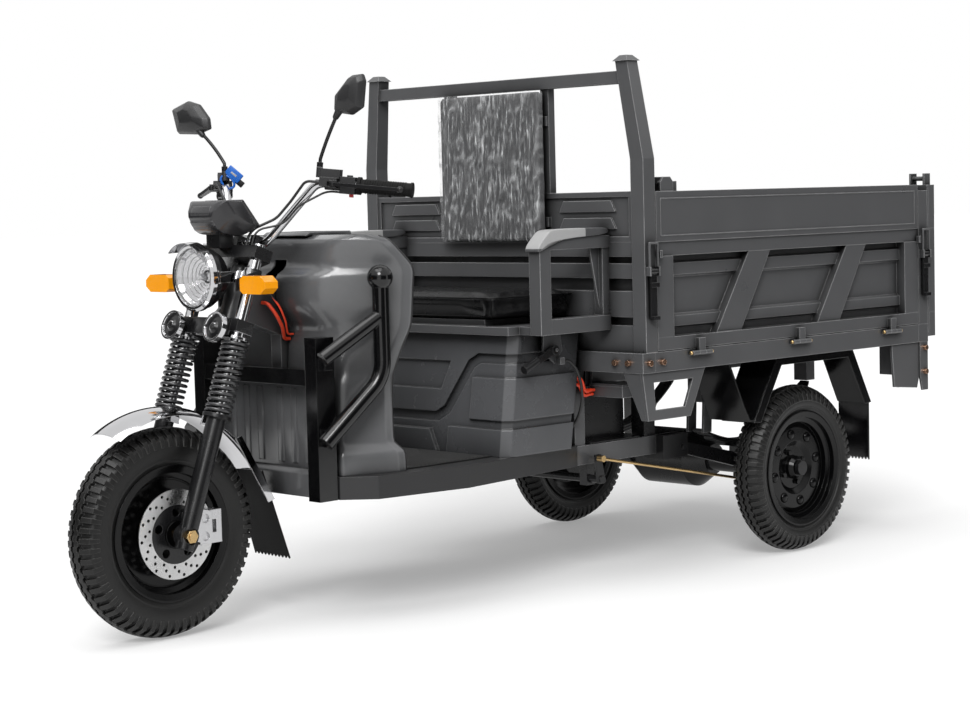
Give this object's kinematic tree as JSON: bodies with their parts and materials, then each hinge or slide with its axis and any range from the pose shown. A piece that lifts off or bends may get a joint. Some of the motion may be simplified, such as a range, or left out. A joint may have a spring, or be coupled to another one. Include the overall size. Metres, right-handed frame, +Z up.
{
  "type": "cargo tricycle",
  "caption": "Motor cargo tricycle with sprung steering fork, cab fairing, bench seat with armrests, and a steel bed with drop sides and tailgate.",
  "frame": {"origin": "middle of the machine's footprint, on the ground", "axes": "+X to the tail, +Y to the rider's right, +Z up; the machine faces -X"},
  "size_m": [2.7993, 1.136, 1.4129],
  "materials": {
    "chassis_frame": "satin",
    "crash_bars": "satin",
    "front_fairing": "as made",
    "footboard": "satin",
    "seat_base_cover": "as made",
    "seat_frame": "satin",
    "armrest_pads": "as made",
    "seat_cushion": "as made",
    "backrest_pad": "as made",
    "headboard": "satin",
    "bed_frame": "satin",
    "bed_corner_guards": "satin",
    "rear_mudguards": "satin",
    "battery_and_controller": "as made",
    "leaf_springs": "satin",
    "frame_bolts": "as made",
    "frame_cables": "as made",
    "steering_stem": "satin",
    "fork_stanchions": "polished",
    "fork_springs": "satin",
    "handlebar": "polished",
    "switch_housings": "as made",
    "left_grip": "as made",
    "headlight_shell": "polished",
    "headlight_rim": "polished",
    "headlight_lens": "as made",
    "turn_signals": "as made",
    "horns": "polished",
    "dashboard": "as made",
    "control_cables": "as made",
    "throttle_grip": "as made",
    "brake_lever_left": "as made",
    "brake_lever_right": "as made",
    "mirror_left": "as made",
    "mirror_right": "as made",
    "fork_legs": "satin",
    "front_axle": "as made",
    "brake_caliper": "as made",
    "front_fender": "polished",
    "front_tyre": "as made",
    "front_rim": "satin",
    "brake_disc": "as made",
    "rear_axle": "satin",
    "rear_tyre_left": "as made",
    "rear_rim_left": "satin",
    "rear_tyre_right": "as made",
    "rear_rim_right": "satin",
    "side_gate_left": "satin",
    "side_gate_right": "satin",
    "tailgate": "satin",
    "brake_cross_shaft": "as made",
    "brake_rods": "as made",
    "brake_pedal": "satin",
    "parking_lever": "satin",
    "latch_left_front": "satin",
    "latch_left_rear": "satin",
    "latch_right_front": "satin",
    "latch_right_rear": "satin",
    "latch_tail_left": "satin",
    "latch_tail_right": "satin"
  },
  "bodies": {
    "chassis": {"chassis_frame": "chassis_frame", "crash_bars": "crash_bars", "front_fairing": "front_fairing", "footboard": "footboard", "seat_base_cover": "seat_base_cover", "seat_frame": "seat_frame", "armrest_pads": "armrest_pads", "seat_cushion": "seat_cushion", "backrest_pad": "backrest_pad", "headboard": "headboard", "bed_frame": "bed_frame", "bed_corner_guards": "bed_corner_guards", "rear_mudguards": "rear_mudguards", "battery_and_controller": "battery_and_controller", "leaf_springs": "leaf_springs", "frame_bolts": "frame_bolts", "frame_cables": "frame_cables"},
    "steering": {"steering_stem": "steering_stem", "fork_stanchions": "fork_stanchions", "fork_springs": "fork_springs", "handlebar": "handlebar", "switch_housings": "switch_housings", "left_grip": "left_grip", "headlight_shell": "headlight_shell", "headlight_rim": "headlight_rim", "headlight_lens": "headlight_lens", "turn_signals": "turn_signals", "horns": "horns", "dashboard": "dashboard", "control_cables": "control_cables"},
    "throttle": {"throttle_grip": "throttle_grip"},
    "lever_left": {"brake_lever_left": "brake_lever_left"},
    "lever_right": {"brake_lever_right": "brake_lever_right"},
    "mirror_left": {"mirror_left": "mirror_left"},
    "mirror_right": {"mirror_right": "mirror_right"},
    "fork_lower": {"fork_legs": "fork_legs", "front_axle": "front_axle", "brake_caliper": "brake_caliper", "front_fender": "front_fender"},
    "front_wheel": {"front_tyre": "front_tyre", "front_rim": "front_rim", "brake_disc": "brake_disc"},
    "rear_axle": {"rear_axle": "rear_axle"},
    "rear_wheel_left": {"rear_tyre_left": "rear_tyre_left", "rear_rim_left": "rear_rim_left"},
    "rear_wheel_right": {"rear_tyre_right": "rear_tyre_right", "rear_rim_right": "rear_rim_right"},
    "gate_left": {"side_gate_left": "side_gate_left"},
    "gate_right": {"side_gate_right": "side_gate_right"},
    "tailgate": {"tailgate": "tailgate"},
    "cross_shaft": {"brake_cross_shaft": "brake_cross_shaft"},
    "brake_rods": {"brake_rods": "brake_rods"},
    "brake_pedal": {"brake_pedal": "brake_pedal"},
    "parking_lever": {"parking_lever": "parking_lever"},
    "latch_left_front": {"latch_left_front": "latch_left_front"},
    "latch_left_rear": {"latch_left_rear": "latch_left_rear"},
    "latch_right_front": {"latch_right_front": "latch_right_front"},
    "latch_right_rear": {"latch_right_rear": "latch_right_rear"},
    "latch_tail_left": {"latch_tail_left": "latch_tail_left"},
    "latch_tail_right": {"latch_tail_right": "latch_tail_right"}
  },
  "joints": [
    {"name": "steering_turn", "type": "hinge", "parent": "chassis", "child": "steering", "pos_m": [-0.93042, 0, 0.72168], "axis": [0.342, 0, 0.9397], "range_deg": [-35, 35]},
    {"name": "fork_travel", "type": "slide", "parent": "steering", "child": "fork_lower", "axis": [0.342, 0, 0.9397], "range_m": [-0.015, 0.06], "stiffness_N_per_m": 26000, "springref_m": -0.0262, "deforming": ["fork_springs"]},
    {"name": "front_wheel_spin", "type": "hinge", "parent": "fork_lower", "child": "front_wheel", "pos_m": [-1.14175, 0, 0.258], "axis": [0, 1, 0], "continuous": true},
    {"name": "rear_axle_swing", "type": "hinge", "parent": "chassis", "child": "rear_axle", "pos_m": [0.43425, 0, 0.329], "axis": [0, -1, 0], "range_deg": [-3, 5], "stiffness_Nm_per_rad": 52000, "springref_deg": -0.6, "deforming": ["leaf_springs"]},
    {"name": "rear_wheel_spin_left", "type": "hinge", "parent": "rear_axle", "child": "rear_wheel_left", "pos_m": [0.78025, -0.45, 0.242], "axis": [0, 1, 0], "continuous": true},
    {"name": "rear_wheel_spin_right", "type": "hinge", "parent": "rear_axle", "child": "rear_wheel_right", "pos_m": [0.78025, 0.45, 0.242], "axis": [0, 1, 0], "continuous": true},
    {"name": "gate_left_drop", "type": "hinge", "parent": "chassis", "child": "gate_left", "pos_m": [0.69025, -0.556, 0.62], "axis": [1, 0, 0], "range_deg": [0, 165]},
    {"name": "gate_right_drop", "type": "hinge", "parent": "chassis", "child": "gate_right", "pos_m": [0.69025, 0.556, 0.62], "axis": [-1, 0, 0], "range_deg": [0, 165]},
    {"name": "tailgate_drop", "type": "hinge", "parent": "chassis", "child": "tailgate", "pos_m": [1.38775, 0, 0.6], "axis": [0, 1, 0], "range_deg": [0, 165]},
    {"name": "latch_left_front_swing", "type": "hinge", "parent": "chassis", "child": "latch_left_front", "pos_m": [0.05675, -0.556, 0.846], "axis": [-1, 0, 0], "range_deg": [0, 110]},
    {"name": "latch_left_rear_swing", "type": "hinge", "parent": "chassis", "child": "latch_left_rear", "pos_m": [1.31425, -0.556, 0.846], "axis": [-1, 0, 0], "range_deg": [0, 110]},
    {"name": "latch_right_front_swing", "type": "hinge", "parent": "chassis", "child": "latch_right_front", "pos_m": [0.05675, 0.556, 0.846], "axis": [1, 0, 0], "range_deg": [0, 110]},
    {"name": "latch_right_rear_swing", "type": "hinge", "parent": "chassis", "child": "latch_right_rear", "pos_m": [1.31425, 0.556, 0.846], "axis": [1, 0, 0], "range_deg": [0, 110]},
    {"name": "latch_tail_left_swing", "type": "hinge", "parent": "tailgate", "child": "latch_tail_left", "pos_m": [1.38775, -0.513, 0.846], "axis": [0, -1, 0], "range_deg": [0, 110]},
    {"name": "latch_tail_right_swing", "type": "hinge", "parent": "tailgate", "child": "latch_tail_right", "pos_m": [1.38775, 0.513, 0.846], "axis": [0, -1, 0], "range_deg": [0, 110]},
    {"name": "throttle_twist", "type": "hinge", "parent": "steering", "child": "throttle", "pos_m": [-0.70898, 0.26867, 1.08699], "axis": [0.5844, 0.8046, -0.1059], "range_deg": [0, 70], "stiffness_Nm_per_rad": 0.6},
    {"name": "brake_lever_left_pull", "type": "hinge", "parent": "steering", "child": "lever_left", "pos_m": [-0.76921, -0.2436, 1.09292], "axis": [0.0622, -0.0857, 0.9944], "range_deg": [0, 10], "stiffness_Nm_per_rad": 4},
    {"name": "brake_lever_right_pull", "type": "hinge", "parent": "steering", "child": "lever_right", "pos_m": [-0.76921, 0.2436, 1.09292], "axis": [-0.0622, -0.0857, -0.9944], "range_deg": [0, 10], "stiffness_Nm_per_rad": 4},
    {"name": "mirror_left_turn", "type": "hinge", "parent": "steering", "child": "mirror_left", "pos_m": [-0.76502, -0.19151, 1.13576], "axis": [0.0622, -0.0857, 0.9944], "range_deg": [-30, 30]},
    {"name": "mirror_right_turn", "type": "hinge", "parent": "steering", "child": "mirror_right", "pos_m": [-0.76502, 0.19151, 1.13576], "axis": [0.0622, 0.0857, 0.9944], "range_deg": [-30, 30]},
    {"name": "brake_pedal_press", "type": "hinge", "parent": "chassis", "child": "brake_pedal", "pos_m": [-0.45175, 0.19, 0.406], "axis": [0, -1, 0], "range_deg": [0, 18], "stiffness_Nm_per_rad": 25},
    {"name": "cross_shaft_turn", "type": "hinge", "parent": "chassis", "child": "cross_shaft", "pos_m": [0.09125, 0, 0.273], "axis": [0, -1, 0], "range_deg": [0, 10]},
    {"name": "brake_rods_pull", "type": "slide", "parent": "chassis", "child": "brake_rods", "axis": [-0.9796, 0, 0.2008], "range_m": [0, 0.011]},
    {"name": "parking_lever_pull", "type": "hinge", "parent": "chassis", "child": "parking_lever", "pos_m": [-0.11175, -0.336, 0.644], "axis": [0, 1, 0], "range_deg": [0, 32]}
  ],
  "couplings": [
    {"joint": "cross_shaft_turn", "follows": "brake_pedal_press", "ratio": 0.55556},
    {"joint": "brake_rods_pull", "follows": "brake_pedal_press", "m_per_rad": 0.033333}
  ]
}
